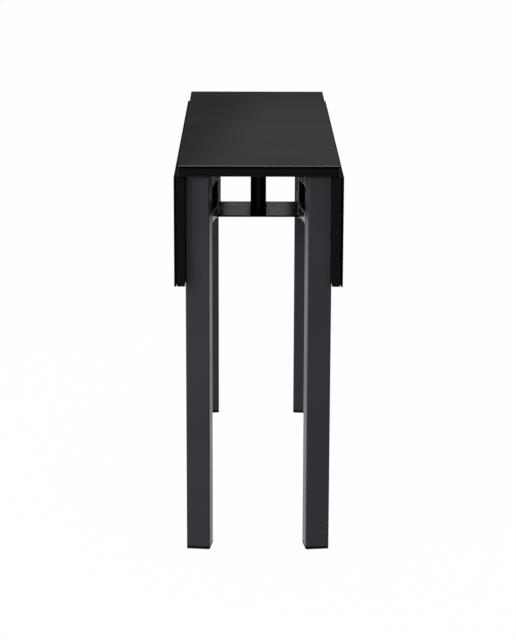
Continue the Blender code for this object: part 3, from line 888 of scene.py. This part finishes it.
def column_mesh(node):
    """A turned tube with a filleted foot, about its own axis."""
    low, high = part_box(node)
    foot = COLUMN_RADIUS + COLUMN_FOOT_RIM
    edge = COLUMN_FOOT_EDGE
    shoulder = low.z + COLUMN_FOOT_HEIGHT
    bore = COLUMN_RADIUS - COLUMN_WALL
    fillet = COLUMN_FOOT_RIM - edge
    profile = [
        (bore, low.z), (foot - edge, low.z), (foot, low.z + edge),
        (foot, shoulder - edge), (foot - edge, shoulder),
    ]
    for step in range(CORNER_STEPS + 1):
        turn = math.pi / 2 * step / CORNER_STEPS
        out, up = fillet * (1 - math.sin(turn)), fillet * (1 - math.cos(turn))
        profile.append((COLUMN_RADIUS + out, shoulder + up))
    profile += [(COLUMN_RADIUS, high.z), (bore, high.z)]
    return mesh_of(lathe(profile, hollow=True))


def bolt_mesh(node):
    """A button-head bolt with a hexagon socket, head down, about its own axis."""
    low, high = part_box(node)
    head = (high.x - low.x) / 2
    shank = head / BOLT_HEAD_TO_SHANK
    seat = low.z + BOLT_HEAD_HEIGHT
    rim = BOLT_RIM_SHARE * BOLT_HEAD_HEIGHT
    crown = []
    for angle in BOLT_CROWN_ANGLES:
        crown.append((head * math.cos(angle), seat - rim - (BOLT_HEAD_HEIGHT - rim) * math.sin(angle)))
    profile = [*crown, (head, seat), (shank, seat), (shank, high.z)]
    across = head * SOCKET_SHARE * 2 / math.sqrt(3)
    socket = round_outline(across, SOCKET_SIDES)
    depth = SOCKET_DEPTH_SHARE * BOLT_HEAD_HEIGHT
    cut = loft([(socket, low.z - BOLT_HEAD_HEIGHT), (socket, low.z + depth)])
    return combined(lathe(profile), cut=[cut])


def screw_head():
    """A countersunk head with a low crown and a cross recess, its rim at z 0 and its face towards +Z."""
    profile = [(SCREW_NECK_RADIUS, -SCREW_HEAD_DEPTH), (SCREW_HEAD_RADIUS, 0.0)]
    for step in range(1, SCREW_CROWN_STEPS):
        share = step / SCREW_CROWN_STEPS
        profile.append((SCREW_HEAD_RADIUS * (1 - share), SCREW_HEAD_CROWN * math.sin(math.pi / 2 * share)))
    slots = []
    for width, depth in ((CROSS_LENGTH, CROSS_WIDTH), (CROSS_WIDTH, CROSS_LENGTH)):
        outline = corner_outline(width, depth, CROSS_CORNER_RADIUS, CROSS_CORNER_STEPS)
        taper = corner_outline(
            width * CROSS_TAPER, depth * CROSS_TAPER, CROSS_CORNER_RADIUS / 2, CROSS_CORNER_STEPS,
        )
        slots.append(loft([(taper, SCREW_HEAD_CROWN - CROSS_DEPTH), (outline, SCREW_HEAD_CROWN * 2)]))
    return combined(lathe(profile), cut=slots)


def screw_group(name, head, places, body):
    """Several screws as one piece."""
    built = bmesh.new()
    for place in places:
        copy = head.copy()
        copy.transform(place)
        built.from_mesh(copy)
        bpy.data.meshes.remove(copy)
    return piece(name, mesh_of(built), ZINC, body)


def facing(place, direction):
    """A matrix that puts a screw at a place with its face towards a direction."""
    turn = Vector((0, 0, 1)).rotation_difference(Vector(direction)).to_matrix().to_4x4()
    return Matrix.Translation(place) @ turn


def make_plate_screws(end, sign, head):
    """The screws that hold an upper plate to the board, in a row along its front and one along its back."""
    low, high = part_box(f"upper_plate_{end}")
    outer, inner = (low.y, high.y) if sign < 0 else (high.y, low.y)
    front = outer - sign * PLATE_SCREW_MARGIN
    back = inner + sign * PLATE_SCREW_MARGIN
    spots = [(x, front) for x in PLATE_SCREWS_FRONT] + [(x, back) for x in PLATE_SCREWS_BACK]
    places = [facing((x, y, low.z), (0, 0, -1)) for x, y in spots]
    screw_group(f"plate_screws_{end}", head, places, TOP_BODY)


def make_set_screw(end):
    """The small grub screw that stands out of the column's side, just above the lower plate."""
    tip = COLUMN_RADIUS + SET_SCREW_STAND_OFF
    root = COLUMN_RADIUS - COLUMN_WALL
    eased = SET_SCREW_RADIUS - SET_SCREW_EDGE
    profile = [(SET_SCREW_RADIUS, root), (SET_SCREW_RADIUS, tip - SET_SCREW_EDGE), (eased, tip)]
    socket = round_outline(SET_SCREW_SOCKET_RADIUS, SOCKET_SIDES)
    cut = loft([(socket, tip - SET_SCREW_STAND_OFF), (socket, tip + SET_SCREW_STAND_OFF)])
    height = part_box(f"column_{end}")[0].z + SET_SCREW_ABOVE_PLATE
    place = upright_axis(f"column_{end}") @ facing((0, 0, height), (1, 0, 0))
    screw = combined(lathe(profile), cut=[cut])
    # Painted shade: the set screw takes the column's near-black painted shade
    piece(f"set_screw_{end}", screw, COLUMN_PAINTED_SHADE, TOP_BODY, place)


def make_end_frames(head):
    """Plates, columns and bolts of both ends, with the screws of the upper plates and the columns."""
    for end, sign in ENDS.items():
        for node in (f"upper_plate_{end}", f"lower_plate_{end}"):
            plate = soft_piece(node, PLATE_EDGE, PLATE_PAINT)
            # Painted shade: the plates' upright edges are near black
            second_material(plate, PLATE_EDGE_SHADE, lambda face: abs(face.normal.z) < 1.0 - UPRIGHT)
        node = f"column_{end}"
        place = upright_axis(node)
        # Painted shade: the column is near black for the shade under the top
        piece(f"{node}_turned", column_mesh(node), COLUMN_PAINTED_SHADE, TOP_BODY, place, [node])
        for node in (f"column_bolt_{end}", f"pivot_bolt_{end}_left", f"pivot_bolt_{end}_right"):
            place = upright_axis(node)
            piece(f"{node}_socket_head", bolt_mesh(node), ZINC, TOP_BODY, place, [node])
        make_plate_screws(end, sign, head)
        make_set_screw(end)


# Hinges

def pin_mesh(node):
    """A hinge pin with rounded ends, along Z about its middle."""
    low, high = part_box(node)
    radius, half = (high.x - low.x) / 2, (high.y - low.y) / 2
    ends = rounded_ends(-half, half, radius * PIN_EDGE_SHARE)
    return mesh_of(lathe([(radius - inset, z) for inset, z in ends]))


def make_hinges(head):
    """Hinge halves, pins, and the screws that go through the boards into the spades."""
    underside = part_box("top_board")[0].z
    for side, sign in SIDES.items():
        leaf_low, leaf_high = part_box(f"leaf_{side}_board")
        inner_face = leaf_low.x if sign > 0 else leaf_high.x
        top_places = []
        leaf_places = []
        for end in ENDS:
            key = f"hinge_{side}_{end}"
            for half in ("fixed", "moving"):
                soft_piece(f"{key}_{half}", HINGE_EDGE, ZINC)
            pin = f"{key}_pin"
            low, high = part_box(pin)
            centre = (low + high) / 2
            lying = Matrix.Translation(centre) @ Matrix.Rotation(math.pi / 2, 4, "X")
            piece(f"{pin}_turned", pin_mesh(pin), ZINC, TOP_BODY, lying, [pin])
            for along in (-HINGE_SCREW_SPREAD, HINGE_SCREW_SPREAD):
                y = centre.y + along
                top_places.append(facing((centre.x - sign * HINGE_SCREW_FROM_PIN, y, underside), (0, 0, -1)))
                leaf_places.append(facing((inner_face, y, centre.z - HINGE_SCREW_FROM_PIN), (-sign, 0, 0)))
        screw_group(f"hinge_screws_top_{side}", head, top_places, TOP_BODY)
        screw_group(f"hinge_screws_leaf_{side}", head, leaf_places, f"leaf_{side}")


# Stage, light and camera

def make_floor():
    """A pale floor that shows white with a faint shadow, also in reflections, and is clear from below."""
    built = bmesh.new()
    corners = [(x * FLOOR_HALF, y * FLOOR_HALF) for x, y in ((-1, -1), (1, -1), (1, 1), (-1, 1))]
    built.faces.new([built.verts.new((x, y, -FLOOR_DROP)) for x, y in corners])
    floor = new_object("floor", mesh_of(built))
    material = bpy.data.materials.new("pale_floor")
    material.use_nodes = True
    tree = material.node_tree
    tree.nodes.clear()
    shade = add(tree, "ShaderNodeBsdfDiffuse", None, {"Color": FLOOR_COLOUR}).outputs["BSDF"]
    white = add(tree, "ShaderNodeEmission", None, {"Color": WHITE, "Strength": 1.0}).outputs["Emission"]
    rays = add(tree, "ShaderNodeLightPath").outputs
    seen = math_node(tree, "MAXIMUM", rays["Is Camera Ray"], rays["Is Glossy Ray"])
    seen = math_node(tree, "MAXIMUM", seen, rays["Is Transmission Ray"])
    share = math_node(tree, "MULTIPLY", seen, 1.0 - FLOOR_SHADE)
    both = add(tree, "ShaderNodeMixShader", None, {0: share, 1: shade, 2: white}).outputs["Shader"]
    below = add(tree, "ShaderNodeNewGeometry").outputs["Backfacing"]
    clear = add(tree, "ShaderNodeBsdfTransparent").outputs["BSDF"]
    shown = add(tree, "ShaderNodeMixShader", None, {0: below, 1: both, 2: clear}).outputs["Shader"]
    add(tree, "ShaderNodeOutputMaterial", None, {"Surface": shown})
    floor.data.materials.append(material)


def make_studio():
    """A room with a low white sweep, a dim wall above it and a bright ceiling."""
    world = bpy.data.worlds.new("studio")
    bpy.context.scene.world = world
    world.use_nodes = True
    tree = world.node_tree
    tree.nodes.clear()
    direction = add(tree, "ShaderNodeTexCoord").outputs["Generated"]
    parts = add(tree, "ShaderNodeSeparateXYZ", None, {"Vector": direction}).outputs
    lit_foot = mapped(tree, parts["Z"], *LIT_WALL_FOOT, 0.0, 1.0, "SMOOTHSTEP")
    aslant = math_node(tree, "ADD", parts["X"], parts["Z"])
    lit_side = mapped(tree, aslant, *LIT_WALL_SIDE, 0.0, 1.0, "SMOOTHSTEP")
    wall = mapped(tree, math_node(tree, "MULTIPLY", lit_foot, lit_side), 0.0, 1.0, *WALL_LEVELS)
    ceiling = add(tree, "ShaderNodeValToRGB", None, {"Fac": parts["Z"]})
    stops = ceiling.color_ramp.elements
    while len(stops) < len(CEILING_RAMP):
        stops.new(1.0)
    for stop, (place, level) in zip(stops, CEILING_RAMP):
        stop.position = place
        stop.color = (level, level, level, 1.0)
    room = math_node(tree, "ADD", wall, ceiling.outputs["Color"])
    low = mapped(tree, parts["Z"], *SWEEP_TOP, 1.0, 0.0)
    front = mapped(tree, parts["Y"], *SWEEP_FRONT, SWEEP_FRONT_LEVEL, 1.0)
    colour = mapped(tree, math_node(tree, "MULTIPLY", low, front), 0.0, 1.0, room, 1.0)
    light = add(tree, "ShaderNodeBackground", None, {"Color": colour, "Strength": 1.0}).outputs["Background"]
    add(tree, "ShaderNodeOutputWorld", None, {"Surface": light})


def make_lamps():
    """Two rectangular studio lamps that face the table."""
    for name, (place, width, depth, power) in LAMPS.items():
        lamp = bpy.data.lights.new(name, "AREA")
        lamp.shape = "RECTANGLE"
        lamp.size, lamp.size_y = width, depth
        lamp.energy = power
        holder = new_object(name, lamp)
        holder.location = place
        holder.rotation_euler = (Vector(LAMP_TARGET) - Vector(place)).to_track_quat("-Z", "Y").to_euler()


def make_camera():
    """A camera near one short end of the table, looking along it and a little down."""
    data = bpy.data.cameras.new("camera")
    data.sensor_width = SENSOR_MM
    data.lens = FOCAL_LENGTH_PX * SENSOR_MM / FRAME_HEIGHT_PX
    data.clip_end = CAMERA_CLIP_END
    camera = new_object("camera", data)
    level = math.cos(CAMERA_PITCH)
    forward = Vector((math.sin(CAMERA_YAW) * level, math.cos(CAMERA_YAW) * level, -math.sin(CAMERA_PITCH)))
    aim = forward.to_track_quat("-Z", "Y").to_matrix().to_4x4()
    camera.matrix_world = Matrix.Translation(CAMERA_PLACE) @ aim @ Matrix.Rotation(CAMERA_ROLL, 4, "Z")
    bpy.context.scene.camera = camera


def main():
    """Makes the pieces of the table, and then the stage round it."""
    make_panels()
    make_gates()
    head = screw_head()
    make_end_frames(head)
    make_hinges(head)
    make_floor()
    make_studio()
    make_lamps()
    make_camera()
    bpy.context.scene.view_settings.view_transform = "Standard"


main()
